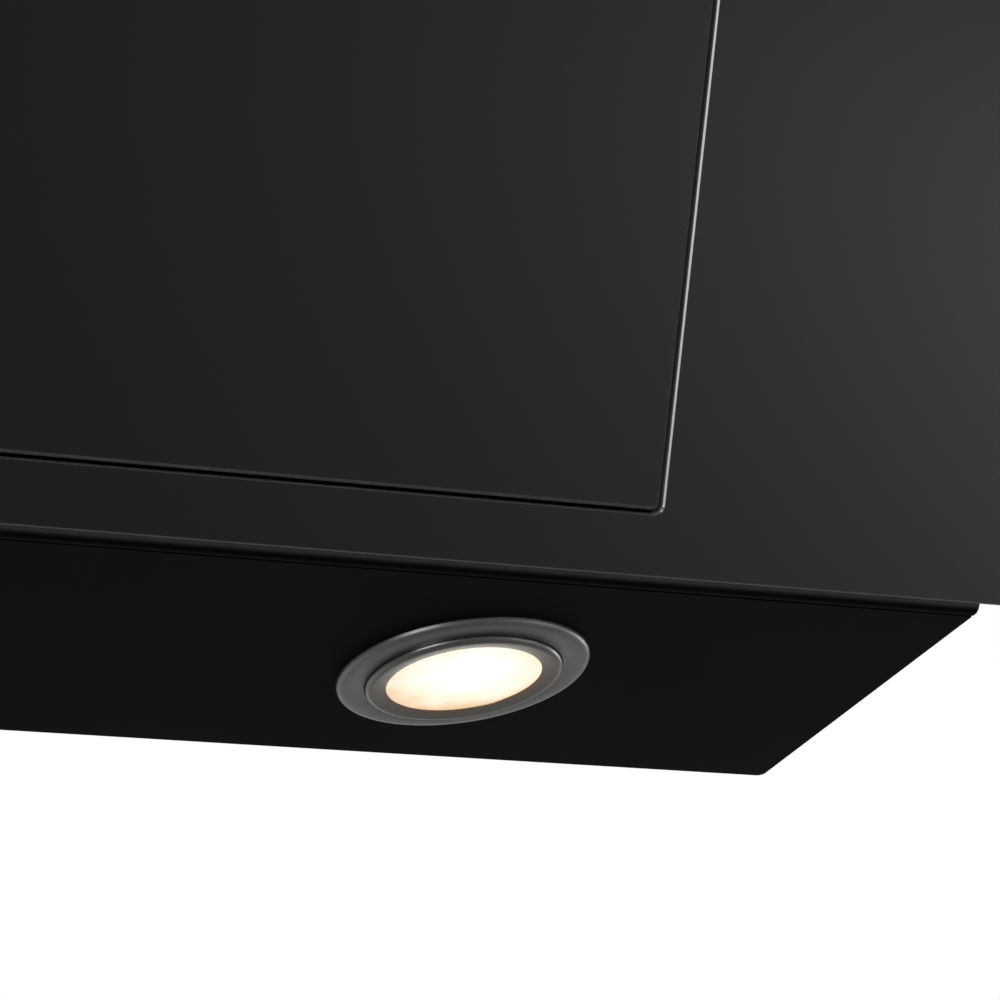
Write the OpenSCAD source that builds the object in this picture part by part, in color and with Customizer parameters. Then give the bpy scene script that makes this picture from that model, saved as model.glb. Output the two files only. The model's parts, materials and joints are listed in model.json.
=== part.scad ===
// Under-cabinet range hood with a leaning black glass front, a glass flap
// flush in the glass, and two lamps in the narrow underside.
// X is to the right, -Y is the front, +Y the wall, +Z up.
// The origin is the centre of the cabinet screws on the top face.

/* [Body] */
// Width of the steel body
body_w = 740; // [660:10:900]
// Height from the underside to the cabinet
body_h = 372; // [350:1:410]
// Depth of the underside, from the wall to the lower edge of the glass
base_d = 117; // [112:1:135]
// Angle of the glass from the horizontal; its top leans forward
glass_angle = 60; // [57:1:64]
// Thickness of the painted sheet steel
sheet_t = 1.2; // [0.8:0.1:1.5]
// Outside radius of the bend below the glass
bend_r = 3; // [2:0.5:4]
// Flat lip that follows the bend
bend_lip = 1; // [0.5:0.25:3]
// Seam between the lip and the underside panel
seam_gap = 0.8; // [0.4:0.1:1.5]
// Width of the folded flanges inside the body
flange_w = 12; // [8:1:18]
// Radius of the underside's rear corners
corner_r = 2; // [1:0.5:8]

/* [Glass] */
// Thickness of the glass
glass_t = 4; // [3:0.5:5]
// How far the glass passes each side of the body
glass_overhang = 6; // [2:0.5:12]
// Gap between the top edge of the glass and the cabinet
cabinet_gap = 1.2; // [0.5:0.1:5]
// Strip of glass below the flap
low_strip = 16; // [10:0.5:30]
// Strip of glass above the flap, with the touch controls
top_strip = 88; // [80:1:120]
// Strip of glass beside the flap, from the body's side
side_strip = 102; // [85:0.5:130]
// Radius of the corners of the opening in the glass
cut_r = 2.5; // [2:0.5:8]

/* [Flap] */
// Gap round the flap
flap_gap = 1; // [0.6:0.1:3]
// Margin of the flap's glass outside its steel carrier
carrier_inset = 8; // [7:0.5:14]
// Depth of the folded edge of the carrier
carrier_d = 12; // [9:0.5:16]
// Distance of the hinge line below the flap's top edge
hinge_drop = 36; // [28:1:50]
// Radius of the hinge pins
pin_r = 2; // [1.5:0.25:2.5]
// Wall of the hinge barrels round the pins
barrel_wall = 2.4; // [1.5:0.1:3]
// Running clearance of a pin in its bore
run_fit = 0.05; // [0.02:0.01:0.08]
// Clear space kept round what moves
move_gap = 0.6; // [0.4:0.1:1.2]

/* [Intake and filters] */
// How far the steel opening stands back from the glass opening
reveal = 3; // [2:0.5:6]
// Depth of the intake behind the front of the glass
intake_d = 42; // [40:1:50]
// Width of the ledge the filters rest on
ledge_w = 14; // [8:1:20]
// Thickness of a filter
filter_t = 10; // [8:0.5:12]
// Clearance round a filter
filter_gap = 1; // [0.5:0.25:2]
// Width of a filter's edge channel
filter_rim = 9; // [6:0.5:14]
// Spacing of the baffles across a filter
baffle_pitch = 24; // [18:1:32]
// Free space kept between the filters and the hinge line
hinge_room = 24; // [20:1:40]
// Travel of a filter latch
latch_travel = 6; // [4:0.5:8]
// Width of a filter latch
latch_w = 46; // [30:1:70]

/* [Blower] */
// Outside radius of the blower wheel
wheel_r = 56; // [48:1:60]
// Width of the blower wheel
wheel_w = 100; // [80:2:110]
// Depth of the blades
blade_d = 10; // [6:0.5:14]
// Number of blades round the wheel
blade_n = 36; // [24:1:48]
// Gap between the wheel and the start of the scroll
cutoff_gap = 8; // [5:0.5:12]
// How much the scroll opens over its turn
scroll_growth = 22; // [14:1:28]
// Gap between the wheel's ends and the scroll's sides
end_gap = 10; // [8:0.5:16]
// Thickness of the scroll's galvanised sheet
scroll_t = 1; // [0.8:0.1:1.5]
// Radius of the rolled inlet lips
lip_r = 7; // [5:0.5:8]
// Height of the blower's axis below the cabinet
blower_drop = 106; // [100:1:120]
// Gap between the scroll and the wall panel
blower_back = 14; // [8:1:24]
// Radius of the motor
motor_r = 34; // [28:1:38]
// Length of the motor
motor_len = 66; // [54:1:80]
// Radius of the motor shaft
shaft_r = 4; // [3:0.5:5]

/* [Duct] */
// Outside radius of the duct collar
collar_r = 75; // [72:0.5:80]
// Height of the duct collar
collar_h = 56; // [45:1:80]
// Height of the damper's axle above the cabinet side
axle_z = 16; // [12:1:22]
// Radius of the damper's axle
axle_r = 2; // [1.5:0.25:3]

/* [Lamps] */
// Radius of a lamp's outer ring
lamp_r = 33.5; // [32:0.5:38]
// Distance of a lamp from the body's side
lamp_side = 125; // [100:1:160]
// Distance of a lamp from the wall
lamp_wall = 55; // [50:1:60]
// Outside radius of a lamp's inner ring
ring_r = 26; // [25:0.1:27]
// Radius of the lit part of a lamp's lens
lens_r = 20.5; // [18:0.5:21]
// How far a lamp's outer ring stands proud
lamp_proud = 1.9; // [1:0.1:2.5]
// How far a lamp's inner ring stands proud
ring_proud = 3.4; // [2.8:0.1:5]
// Height of a lamp's can
can_h = 46; // [40:1:52]

/* [Mounting and electrics] */
// Spacing of the cabinet screws across the hood
screw_dx = 640; // [560:10:640]
// Spacing of the cabinet screws from front to back
screw_dy = 220; // [180:5:240]
// Radius of the cabinet screw holes
screw_r = 3.3; // [2.5:0.1:4]
// Radius of the supply cable's way in
cable_r = 5; // [3.5:0.5:7]
// Width of the electrics box
box_w = 130; // [110:5:160]
// Height of the electrics box
box_h = 90; // [70:5:110]
// Depth of the electrics box
box_d = 46; // [36:1:56]

/* [Hidden] */
$fn = 96;
cut = 1; // how far a cutting tool passes the faces it cuts
seat_gap = 0.3; // gap between pieces that only rest near each other

// Colours
paint = [0.10, 0.10, 0.10];
black_glass = [0.05, 0.05, 0.05];
satin_metal = [0.42, 0.41, 0.40];
bright_metal = [0.75, 0.76, 0.77];
zinc = [0.62, 0.64, 0.66];
plastic = [0.16, 0.16, 0.17];
rubber = [0.08, 0.08, 0.08];
warm_lens = [1.0, 0.96, 0.85, 0.9];

// Places of the leaning front. s runs up the glass from its lower edge and
// n stands out of the glass; n = 0 is the front of the glass.
sin_a = sin(glass_angle);
cos_a = cos(glass_angle);
half_w = body_w / 2;
top_d = base_d + body_h / tan(glass_angle);
wall_y = top_d / 2;
glass_y = wall_y - base_d;
glass_len = (body_h - cabinet_gap - glass_t * cos_a) / sin_a;
function slope_y(s, n) = glass_y - s * cos_a - n * sin_a;
function slope_z(s, n) = -body_h + s * sin_a - n * cos_a;
function slope_s(z, n) = (z + body_h + n * cos_a) / sin_a;

// Opening in the glass, and the flap in it
cut_w = body_w - 2 * side_strip;
cut_s0 = low_strip;
cut_s1 = glass_len - top_strip;
frame_n = -glass_t - sheet_t;
barrel_r = pin_r + barrel_wall;
hinge_depth = glass_t + barrel_r + move_gap;
flap_w = cut_w - 2 * flap_gap;
flap_s0 = cut_s0 + flap_gap;
// the flap's top edge rises this much as it swings past square to the glass
flap_rise = norm([hinge_drop, hinge_depth]) - hinge_drop;
flap_s1 = cut_s1 - flap_rise - move_gap;
hinge_s = flap_s1 - hinge_drop;
hinge_n = -hinge_depth;
carrier_w = flap_w - 2 * carrier_inset;
bumper_d = glass_t + 8;
bumper_r = 2.6;
bumper_s = flap_s0 + 26;
bumper_x = carrier_w / 2 + 2 * move_gap + bumper_r;
tab_l = 14;
gear_w = 30;
gear_up = 12;
gear_down = 34;
gear_d = 32;
gear_can_l = 18;
gear_can_r = 13;

// Touch controls behind the strip of glass above the flap
touch_w = 190;
touch_l = 34;
touch_d = 11;
touch_s0 = glass_len - top_strip / 2 - touch_l / 2;

// Bend below the glass
bend_s = (bend_r - (glass_t + bend_r) * cos_a) / sin_a;
bend_y = slope_y(bend_s, -glass_t - bend_r);
bend_z = -body_h + bend_r;
bend_steps = 10;
panel_y0 = bend_y + bend_lip + seam_gap;
frame_len = slope_s(-sheet_t, frame_n);

// Intake behind the flap
mouth_w = cut_w + 2 * reveal;
mouth_s0 = cut_s0 - reveal;
mouth_s1 = cut_s1 + reveal;
filter_s0 = mouth_s0 + filter_gap;
filter_s1 = hinge_s - hinge_room;
filter_l = filter_s1 - filter_s0;
filter_bar = 2 * filter_gap;
filter_w = (mouth_w - 2 * filter_gap - filter_bar) / 2;
filter_x = (filter_w + filter_bar) / 2;
filter_n = -intake_d + filter_t;
latch_t = 2.5;
latch_s0 = filter_s1 - filter_rim - 14;
latch_tongue = latch_travel + 1;
catch_gap = 0.6;
catch_n = filter_n + move_gap + latch_t + catch_gap;
catch_s = filter_s1 + latch_tongue + 2;
tray_h = 12;

// Blower
wheel_in = wheel_r - blade_d;
scroll_r0 = wheel_r + cutoff_gap;
scroll_r1 = scroll_r0 + scroll_growth;
scroll_w = wheel_w + 2 * end_gap;
axis_y = wall_y - sheet_t - blower_back - scroll_t - scroll_r0 - scroll_growth * 0.35;
axis_z = -blower_drop;
collar_in = collar_r - sheet_t;
throat_d = 2 * sqrt(collar_in * collar_in - scroll_w * scroll_w / 4);
duct_y = axis_y - scroll_r1 + throat_d / 2;
tongue_a = acos((throat_d - scroll_r1) / scroll_r0);
tongue_out_a = acos((throat_d - scroll_r1 + scroll_t) / (scroll_r0 + scroll_t));
scroll_steps = 40;
inlet_r = wheel_in + 1;
hub_r = 11;
hub_len = 26;
motor_x1 = -hub_len / 2 - 6;
motor_x0 = motor_x1 - motor_len;
outlet_flange = 13;
stud_x = scroll_w / 2 + outlet_flange / 2;
stud_r = 2;
scroll_top = -sheet_t - scroll_t - axis_z;
throat_y = throat_d - scroll_r1;
bracket_t = 3;

// Duct collar and damper
flange_r = collar_r + 15;
ledge_r = collar_in - 4;
ledge_t = 1.6;
screw_ring = collar_r + 8;
collar_screw_r = 1.8;
damper_t = 1;
damper_r = collar_in - 1;
knuckle_r = axle_r + 1.5;
knuckle_l = 23;
knuckle_gap = 4;

// Electrics
box_x = half_w - sheet_t - flange_w - 8 - box_w / 2;
box_z1 = -32;
box_y1 = wall_y - sheet_t;
box_y0 = box_y1 - box_d;
board_t = 1.6;
gland_r = cable_r + 3;
gland_neck = 12;
gland_head = 9;
supply_w = 120;
supply_d = 28;
supply_h = 40;
supply_ear = 12;

// Lamps
lamp_x = half_w - lamp_side;
lamp_y = wall_y - lamp_wall;
bezel_in = ring_r + 0.4;
tube_out = ring_r + 3.2;
tube_h = 15;
panel_hole = tube_out + 0.4;
lens_set = 0.9;
lens_t = 3;
lens_out = lens_r + 2;
lens_z = lens_set - ring_proud;
can_r = ring_r - 1.6;
can_z = lens_z + lens_t;
can_wall = 1.2;

// ---------------------------------------------------------------- helpers

// Places children given as (x, s, n) on the leaning front
module on_slope() {
    translate([0, glass_y, -body_h]) rotate([180 - glass_angle, 0, 0]) children();
}

// Extrudes a (y, z) profile across the hood
module across(w, x = 0) {
    translate([x - w / 2, 0, 0]) rotate([90, 0, 90]) linear_extrude(w) children();
}

// Box between two corners
module block(a, b) {
    translate(a) cube(b - a);
}

// Flat outline with round corners, centred on x
module round_rect(w, y0, y1, r) {
    translate([-w / 2 + r, y0]) square([w - 2 * r, y1 - y0]);
    translate([-w / 2, y0 + r]) square([w, y1 - y0 - 2 * r]);
    for (x = [-w / 2 + r, w / 2 - r], y = [y0 + r, y1 - r]) translate([x, y]) circle(r);
}

// Turns children made along +Z so that they lie along +X
module along_x(x = 0) {
    translate([x, 0, 0]) rotate([0, 90, 0]) children();
}

// Moves children to the hinge line of the flap
module at_hinge() {
    on_slope() translate([0, hinge_s, hinge_n]) children();
}

// Moves children to the blower's axis
module at_blower() {
    translate([0, axis_y, axis_z]) children();
}

// Moves children to one lamp; z = 0 is the face of the underside
module at_lamp(side) {
    translate([side * lamp_x, lamp_y, -body_h]) children();
}

// ---------------------------------------------------------------- steel body

// Front plate, the bend under it and its lip, as one (y, z) outline
module frame_profile() {
    arc = [for (i = [0 : bend_steps]) 270 - glass_angle * (1 - i / bend_steps)];
    centre = [bend_y, bend_z];
    polygon(concat(
        [[slope_y(frame_len, frame_n), slope_z(frame_len, frame_n)]],
        [[slope_y(frame_len, -glass_t), slope_z(frame_len, -glass_t)]],
        [for (a = arc) centre + bend_r * [cos(a), sin(a)]],
        [[bend_y + bend_lip, -body_h], [bend_y + bend_lip, -body_h + sheet_t]],
        [for (i = [bend_steps : -1 : 0]) centre + (bend_r - sheet_t) * [cos(arc[i]), sin(arc[i])]]
    ));
}

module front_frame() {
    window_w = touch_w + 2 * filter_gap;
    color(paint) difference() {
        across(body_w) frame_profile();
        on_slope() block([-mouth_w / 2, mouth_s0, frame_n - cut], [mouth_w / 2, mouth_s1, cut]);
        on_slope() block([-window_w / 2, touch_s0 - filter_gap, frame_n - cut],
                         [window_w / 2, touch_s0 + touch_l + filter_gap, cut]);
    }
}

module side_profile() {
    z0 = -body_h + sheet_t;
    s0 = slope_s(z0, frame_n);
    difference() {
        polygon([
            [slope_y(s0, frame_n), z0],
            [wall_y, z0],
            [wall_y, -sheet_t],
            [slope_y(frame_len, frame_n), -sheet_t],
        ]);
        frame_profile();
    }
}

module side_panel(side) {
    mid = side * (half_w - flange_w / 2);
    color(paint) {
        across(sheet_t, side * (half_w - sheet_t / 2)) side_profile();
        // folded flanges that carry the top panel and the front frame
        across(flange_w, mid) translate([-wall_y + flange_w * 2, -2 * sheet_t])
            square([2 * wall_y - flange_w * 2 - sheet_t, sheet_t]);
        on_slope() translate([mid, 0, 0])
            block([-flange_w / 2, flange_w, frame_n - sheet_t],
                  [flange_w / 2, frame_len - 2 * flange_w, frame_n]);
    }
}

module back_panel() {
    w = half_w - sheet_t;
    color(paint) block([-w, wall_y - sheet_t, -body_h + sheet_t], [w, wall_y, -sheet_t]);
}

module bottom_panel() {
    w = half_w - sheet_t;
    z1 = -body_h + sheet_t;
    color(paint) difference() {
        union() {
            translate([0, 0, -body_h]) linear_extrude(sheet_t) {
                round_rect(body_w, panel_y0, wall_y, corner_r);
                translate([-half_w, panel_y0]) square([body_w, corner_r]);
            }
            // edges folded up inside the front frame and the side panels
            block([-w, panel_y0, z1], [w, panel_y0 + sheet_t, z1 + flange_w - sheet_t]);
            for (side = [-1, 1])
                translate([side * (w - sheet_t / 2), 0, 0])
                    block([-sheet_t / 2, panel_y0, z1], [sheet_t / 2, wall_y - sheet_t, z1 + flange_w]);
        }
        for (side = [-1, 1])
            at_lamp(side) translate([0, 0, -cut]) cylinder(h = sheet_t + 2 * cut, r = panel_hole);
    }
}

module top_panel() {
    y0 = slope_y(frame_len, frame_n);
    color(paint) difference() {
        block([-half_w, y0, -sheet_t], [half_w, wall_y, 0]);
        translate([0, duct_y, -sheet_t - cut]) cylinder(h = sheet_t + 2 * cut, r = collar_in);
        for (x = [-1, 1], y = [-1, 1])
            translate([x * screw_dx / 2, y * screw_dy / 2, -sheet_t - cut])
                cylinder(h = sheet_t + 2 * cut, r = screw_r, $fn = 32);
        at_gland() translate([0, 0, -sheet_t - cut]) cylinder(h = sheet_t + 2 * cut, r = gland_r);
    }
}

// ---------------------------------------------------------------- glass

module glass_front() {
    w = body_w + 2 * glass_overhang;
    color(black_glass) on_slope() translate([0, 0, -glass_t]) linear_extrude(glass_t) difference() {
        round_rect(w, 0, glass_len, cut_r / 2);
        round_rect(cut_w, cut_s0, cut_s1, cut_r);
    }
}

module touch_module() {
    rim = 2;
    color(plastic) on_slope() difference() {
        block([-touch_w / 2, touch_s0, -glass_t - touch_d], [touch_w / 2, touch_s0 + touch_l, -glass_t]);
        // board space, open at the back
        block([-touch_w / 2 + rim, touch_s0 + rim, -glass_t - touch_d - cut],
              [touch_w / 2 - rim, touch_s0 + touch_l - rim, -glass_t - rim]);
    }
}

// ---------------------------------------------------------------- intake and filters

module filter_openings() {
    for (side = [-1, 1])
        block([side * filter_x - filter_w / 2 + ledge_w, filter_s0 + ledge_w, -intake_d - sheet_t - cut],
              [side * filter_x + filter_w / 2 - ledge_w, filter_s1 - ledge_w, -intake_d + cut]);
}

module intake_frame() {
    tab_x = carrier_w / 2 + move_gap;
    color(paint) difference() {
        on_slope() {
            difference() {
                block([-mouth_w / 2 - sheet_t, mouth_s0 - sheet_t, -intake_d - sheet_t],
                      [mouth_w / 2 + sheet_t, mouth_s1 + sheet_t, frame_n]);
                block([-mouth_w / 2, mouth_s0, -intake_d], [mouth_w / 2, mouth_s1, cut]);
                filter_openings();
            }
            // hooks that the filter latches slide behind
            for (side = [-1, 1]) translate([side * filter_x, 0, 0]) {
                block([-latch_w / 2, catch_s, -intake_d], [latch_w / 2, catch_s + sheet_t, catch_n]);
                block([-latch_w / 2, filter_s1 + 1, catch_n],
                      [latch_w / 2, catch_s + sheet_t, catch_n + sheet_t]);
            }
            // tabs under the flap's bumpers
            for (side = [-1, 1])
                translate([side * (tab_x + mouth_w / 2) / 2, bumper_s, 0])
                    block([-(mouth_w / 2 - tab_x) / 2, -tab_l / 2, -bumper_d - sheet_t],
                          [(mouth_w / 2 - tab_x) / 2, tab_l / 2, -bumper_d]);
        }
        // way through for the driven shaft
        at_hinge() along_x(-mouth_w / 2 - sheet_t - cut)
            cylinder(h = sheet_t + 2 * cut, r = pin_r + move_gap, $fn = 32);
    }
}

module flap_bumpers() {
    color(rubber) on_slope() for (side = [-1, 1])
        translate([side * bumper_x, bumper_s, -bumper_d])
            cylinder(h = bumper_d - glass_t - seat_gap, r = bumper_r, $fn = 32);
}

module grease_tray() {
    wall = 0.8;
    n0 = filter_n + seat_gap;
    w = mouth_w / 2 - filter_gap;
    color(bright_metal) on_slope() difference() {
        block([-w, mouth_s0, n0], [w, mouth_s0 + tray_h, n0 + tray_h]);
        block([-w + wall, mouth_s0 + wall, n0 + wall], [w - wall, mouth_s0 + tray_h + cut, n0 + tray_h - wall]);
    }
}

// One baffle: a shallow channel, open upwards
module baffle_profile(w, h) {
    wall = 0.8;
    difference() {
        translate([-w / 2, 0]) square([w, h]);
        translate([-w / 2 + wall, wall]) square([w - 2 * wall, h]);
    }
}

module grease_filter(side) {
    wall = 0.8;
    inner_w = filter_w - 2 * filter_rim;
    count = floor(inner_w / baffle_pitch);
    pitch = inner_w / count;
    cover = pitch * 0.68;
    deep = filter_t * 0.42;
    color(bright_metal) on_slope() translate([side * filter_x, 0, 0]) {
        difference() {
            block([-filter_w / 2, filter_s0, -intake_d], [filter_w / 2, filter_s1, filter_n]);
            block([-inner_w / 2, filter_s0 + filter_rim, -intake_d - cut],
                  [inner_w / 2, filter_s1 - filter_rim, filter_n + cut]);
        }
        // front and back rows of baffles, each row covering the other's gaps
        translate([0, filter_s0 + filter_rim - wall, 0]) rotate([-90, 0, 0])
            linear_extrude(filter_l - 2 * filter_rim + 2 * wall) {
                for (i = [0 : count - 1])
                    translate([(i + 0.5 - count / 2) * pitch, -filter_n + 1]) baffle_profile(cover, deep);
                for (i = [1 : count - 1])
                    translate([(i - count / 2) * pitch, intake_d - 1]) mirror([0, 1])
                        baffle_profile(cover, deep);
            }
        }
}

module filter_latch(side) {
    grip = 5;
    n0 = filter_n + seat_gap;
    color(plastic) on_slope() translate([side * filter_x, 0, n0]) {
        block([-latch_w / 2 + 2, latch_s0, 0], [latch_w / 2 - 2, filter_s1 + latch_tongue - 1, latch_t]);
        difference() {
            block([-latch_w / 2 + 2, latch_s0, latch_t - cut],
                  [latch_w / 2 - 2, latch_s0 + grip, latch_t + grip]);
            // finger hollow along the grip
            translate([-latch_w / 2, latch_s0 + grip, latch_t + grip * 0.6]) along_x()
                cylinder(h = latch_w, r = grip * 0.5, $fn = 32);
        }
    }
}

// ---------------------------------------------------------------- flap

module flap_glass() {
    color(black_glass) on_slope() translate([0, 0, -glass_t]) linear_extrude(glass_t)
        round_rect(flap_w, flap_s0, flap_s1, cut_r - flap_gap / 2);
}

module flap_carrier() {
    s0 = flap_s0 + carrier_inset;
    s1 = flap_s1 - carrier_inset;
    back = -glass_t - carrier_d;
    rib_w = 26;
    rib_d = carrier_d * 0.5;
    color(paint) difference() {
        on_slope() {
            difference() {
                block([-carrier_w / 2, s0, back], [carrier_w / 2, s1, -glass_t]);
                block([-carrier_w / 2 + sheet_t, s0 + sheet_t, back - cut],
                      [carrier_w / 2 - sheet_t, s1 - sheet_t, frame_n]);
            }
            // pressed ribs along the pan
            for (i = [-1 : 1]) translate([i * carrier_w / 3.4, 0, 0]) difference() {
                block([-rib_w / 2, s0 + flange_w * 2, frame_n - rib_d],
                      [rib_w / 2, s1 - flange_w * 2, frame_n]);
                block([-rib_w / 2 + sheet_t, s0 + flange_w * 2 + sheet_t, frame_n - rib_d + sheet_t],
                      [rib_w / 2 - sheet_t, s1 - flange_w * 2 - sheet_t, frame_n]);
            }
        }
        at_hinge() along_x(-carrier_w / 2 - cut)
            cylinder(h = carrier_w + 2 * cut, r = pin_r + run_fit, $fn = 32);
    }
}

// Hinge pin with a head inside the carrier, along -X or +X
module hinge_pin(side, reach) {
    head = 2;
    x0 = carrier_w / 2 - sheet_t;
    at_hinge() mirror([side < 0 ? 1 : 0, 0, 0]) {
        along_x(x0 - head) cylinder(h = head, r = pin_r + 1.5, $fn = 32);
        along_x(x0) cylinder(h = reach - x0, r = pin_r, $fn = 32);
    }
}

module flap_shaft() {
    color(zinc) hinge_pin(-1, mouth_w / 2 + sheet_t + gear_w - 6);
}

module flap_pin() {
    color(zinc) hinge_pin(1, mouth_w / 2 - seat_gap);
}

module hinge_bracket(side) {
    foot_t = 2;
    foot_l = 12;
    x0 = carrier_w / 2 + move_gap;
    x1 = mouth_w / 2;
    color(zinc) at_hinge() mirror([side < 0 ? 1 : 0, 0, 0]) difference() {
        union() {
            along_x(x0) cylinder(h = x1 - x0, r = barrel_r, $fn = 48);
            block([x1 - foot_t, -foot_l, -3 * barrel_r], [x1, foot_l, barrel_r]);
            block([x1 - foot_t * 3, -sheet_t, -3 * barrel_r], [x1, sheet_t, 0]);
        }
        along_x(x0 - cut) cylinder(h = x1 - x0 + 2 * cut, r = pin_r + run_fit, $fn = 48);
    }
}

// Geared motor outside the intake, whose output shaft is the flap's left pin
module flap_gearmotor() {
    x1 = -mouth_w / 2 - sheet_t;
    top = hinge_depth + frame_n - seat_gap;
    color(plastic) at_hinge() difference() {
        union() {
            block([x1 - gear_w, -gear_down, top - gear_d], [x1, gear_up, top]);
            along_x(x1 - gear_w - gear_can_l) translate([gear_d / 2 - top, -gear_down / 2, 0])
                cylinder(h = gear_can_l + cut, r = gear_can_r, $fn = 48);
        }
        along_x(x1 - gear_w + 4) cylinder(h = gear_w, r = pin_r + run_fit, $fn = 48);
    }
}

// ---------------------------------------------------------------- blower

function spiral_r(a) = scroll_r0 + scroll_growth * (tongue_a - a) / (tongue_a + 180);
function polar(r, a) = r * [cos(a), sin(a)];
function scroll_line(extra, start) = [
    [throat_y + extra, scroll_top],
    for (i = [0 : scroll_steps])
        let (a = start + (-180 - start) * i / scroll_steps) polar(spiral_r(a) + extra, a),
    [-scroll_r1 - extra, scroll_top],
];
function reversed(list) = [for (i = [len(list) - 1 : -1 : 0]) list[i]];

// Sheet that winds round the wheel and rises to the outlet, with the outlet's flange
module scroll_wrap() {
    z0 = scroll_top;
    y0 = -scroll_r1 - outlet_flange;
    y1 = throat_y + outlet_flange;
    w = scroll_w / 2 + outlet_flange;
    color(zinc) at_blower() {
        across(scroll_w)
            polygon(concat(scroll_line(0, tongue_a), reversed(scroll_line(scroll_t, tongue_out_a))));
        difference() {
            block([-w, y0, z0], [w, y1, z0 + scroll_t]);
            block([-scroll_w / 2, -scroll_r1, z0 - cut], [scroll_w / 2, throat_y, z0 + scroll_t + cut]);
            for (x = [-1, 1], y = [y0 + outlet_flange / 2, y1 - outlet_flange / 2])
                translate([x * stud_x, y, z0 - cut]) cylinder(h = scroll_t + 2 * cut, r = stud_r, $fn = 24);
        }
    }
}

module blower_nuts() {
    color(bright_metal) at_blower()
        for (x = [-1, 1], y = [-scroll_r1 - outlet_flange / 2, throat_y + outlet_flange / 2])
            translate([x * stud_x, y, 0]) {
                translate([0, 0, scroll_top - 6]) cylinder(h = 6 + scroll_t, r = stud_r, $fn = 24);
                translate([0, 0, scroll_top - 3.2]) cylinder(h = 3.2, r = stud_r * 2, $fn = 6);
            }
}

module scroll_side(side) {
    hole = inlet_r + lip_r;
    x0 = side > 0 ? scroll_w / 2 : -scroll_w / 2 - scroll_t;
    color(zinc) at_blower() {
        difference() {
            across(scroll_t, x0 + scroll_t / 2) polygon(scroll_line(scroll_t, tongue_out_a));
            along_x(x0 - cut) cylinder(h = scroll_t + 2 * cut, r = hole);
        }
        // lip of the inlet, rolled inwards
        translate([side * (scroll_w / 2 + scroll_t - lip_r), 0, 0]) rotate([0, side * 90, 0])
            rotate_extrude() translate([hole, 0]) difference() {
                circle(lip_r);
                circle(lip_r - scroll_t);
                translate([-2 * lip_r, -2 * lip_r]) square([4 * lip_r, 2 * lip_r]);
                square([2 * lip_r, 2 * lip_r]);
            }
    }
}

// Forward-curved blades between two end rings and a centre disc
module impeller() {
    sweep = 13;
    blade_t = 0.8;
    steps = 4;
    ring_w = 3;
    rim = wheel_r + sheet_t / 2;
    thick = blade_t / wheel_in * 180 / PI;
    edge = [for (i = [0 : steps]) let (t = i / steps) [wheel_in + t * blade_d, sweep * t * t]];
    outline = concat(
        [for (p = edge) polar(p[0], p[1])],
        [for (p = reversed(edge)) polar(p[0], p[1] + thick)]
    );
    color(plastic) at_blower() along_x() {
        for (i = [0 : blade_n - 1]) rotate(i * 360 / blade_n)
            translate([0, 0, -wheel_w / 2]) linear_extrude(wheel_w) polygon(outline);
        difference() {
            union() {
                translate([0, 0, -sheet_t / 2]) cylinder(h = sheet_t, r = rim);
                translate([0, 0, -hub_len / 2]) cylinder(h = hub_len, r = hub_r, $fn = 48);
            }
            translate([0, 0, -hub_len]) cylinder(h = 2 * hub_len, r = shaft_r, $fn = 48);
        }
        for (z = [-wheel_w / 2 - ring_w / 2, wheel_w / 2 - ring_w / 2]) translate([0, 0, z]) difference() {
            cylinder(h = ring_w, r = rim);
            translate([0, 0, -cut]) cylinder(h = ring_w + 2 * cut, r = wheel_in - 0.5);
        }
    }
}

module motor_shaft() {
    color(bright_metal) at_blower() along_x(motor_x0 + 10)
        cylinder(h = hub_len / 2 - motor_x0 - 10 + 3, r = shaft_r, $fn = 48);
}

module motor() {
    bell = 7;
    color(zinc) at_blower() along_x(motor_x0) difference() {
        union() {
            translate([0, 0, bell]) cylinder(h = motor_len - 2 * bell, r = motor_r);
            cylinder(h = motor_len, r = motor_r - bell / 2);
        }
        translate([0, 0, 8]) cylinder(h = motor_len, r = shaft_r + run_fit, $fn = 48);
    }
}

module motor_bracket() {
    reach = inlet_r + lip_r + 8;
    arm_w = 14;
    x0 = -scroll_w / 2 - scroll_t - bracket_t;
    color(zinc) at_blower() along_x(x0) difference() {
        union() {
            cylinder(h = bracket_t, r = motor_r + 5);
            for (i = [0 : 2]) rotate(60 + i * 120) block([0, -arm_w / 2, 0], [reach, arm_w / 2, bracket_t]);
        }
        translate([0, 0, -cut]) cylinder(h = bracket_t + 2 * cut, r = motor_r);
    }
}

// ---------------------------------------------------------------- duct

module duct_collar() {
    color(zinc) translate([0, duct_y, 0]) difference() {
        rotate_extrude() {
            translate([collar_in, sheet_t]) square([sheet_t, collar_h - sheet_t]);
            translate([ledge_r, axle_z - damper_t / 2 - seat_gap - ledge_t])
                square([collar_in - ledge_r + sheet_t / 2, ledge_t]);
        }
        translate([0, 0, axle_z]) along_x(-collar_r - 2) cylinder(h = 2 * collar_r + 4, r = axle_r, $fn = 32);
    }
}

// Ring that screws the collar down on the top panel
module collar_flange() {
    color(zinc) translate([0, duct_y, 0]) difference() {
        cylinder(h = sheet_t, r = flange_r);
        translate([0, 0, -cut]) cylinder(h = sheet_t + 2 * cut, r = collar_in);
        for (i = [0 : 3]) rotate(45 + i * 90) translate([screw_ring, 0, -cut])
            cylinder(h = sheet_t + 2 * cut, r = collar_screw_r, $fn = 24);
    }
}

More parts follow.
